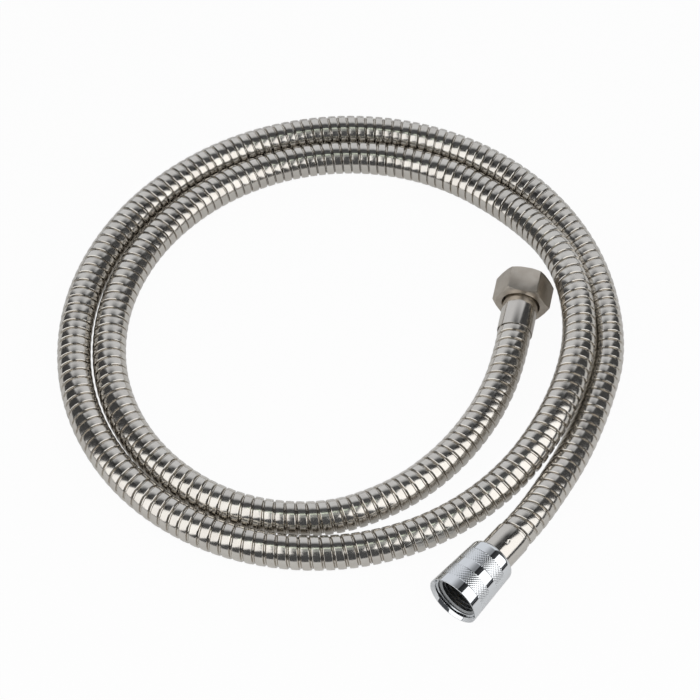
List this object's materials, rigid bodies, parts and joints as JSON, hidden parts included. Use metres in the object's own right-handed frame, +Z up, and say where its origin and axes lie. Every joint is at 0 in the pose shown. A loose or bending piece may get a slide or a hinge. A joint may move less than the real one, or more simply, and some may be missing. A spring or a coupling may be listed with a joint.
{
  "type": "shower hose",
  "caption": "Flexible strip-wound metal shower hose lying in a loose coil, with a hexagon union nut on one end and a round knurled union nut on the other.",
  "frame": {"origin": "on the floor that the coil lies on, under the middle of the whole object's box", "axes": "+Z up, square to the floor; -Y towards the side where the round grip nut comes out of the coil, +X towards the side where the loops pass the hexagon nut"},
  "size_m": [0.2681, 0.2883, 0.0273],
  "materials": {
    "sheath_steel": "bright rolled stainless steel strip, double locked",
    "liner_rubber": "matt black EPDM tube",
    "hex_nickel": "satin nickel plate on turned brass",
    "grip_chrome": "polished chrome plate with knurled bands",
    "ferrule_steel": "polished stainless steel",
    "nipple_brass": "bare turned brass",
    "washer_rubber": "matt black rubber",
    "ring_plastic": "white acetal"
  },
  "bodies": {
    "root": {"outer_sheath": "sheath_steel", "inner_liner": "liner_rubber", "hex_nipple": "nipple_brass", "hex_ferrule": "ferrule_steel", "hex_washer": "washer_rubber", "grip_nipple": "nipple_brass", "grip_ferrule": "ferrule_steel", "grip_washer": "washer_rubber"},
    "hex_ring": {"hex_slip_ring": "ring_plastic"},
    "hex_union": {"hex_nut": "hex_nickel"},
    "grip_ring": {"grip_slip_ring": "ring_plastic"},
    "grip_union": {"grip_nut": "grip_chrome"}
  },
  "joints": [
    {"name": "hex_ring_slide", "type": "slide", "parent": "root", "child": "hex_ring", "axis": [0.2079, 0.9781, 0], "range_m": [-0.01, 0]},
    {"name": "hex_union_turn", "type": "hinge", "parent": "hex_ring", "child": "hex_union", "pos_m": [0.0865, 0.0307, 0.012], "axis": [0.2079, 0.9781, 0], "continuous": true},
    {"name": "grip_ring_slide", "type": "slide", "parent": "root", "child": "grip_ring", "axis": [-0.6428, -0.766, 0], "range_m": [-0.01, 0]},
    {"name": "grip_union_turn", "type": "hinge", "parent": "grip_ring", "child": "grip_union", "pos_m": [0.058, -0.1268, 0.01285], "axis": [-0.6428, -0.766, 0], "continuous": true}
  ]
}
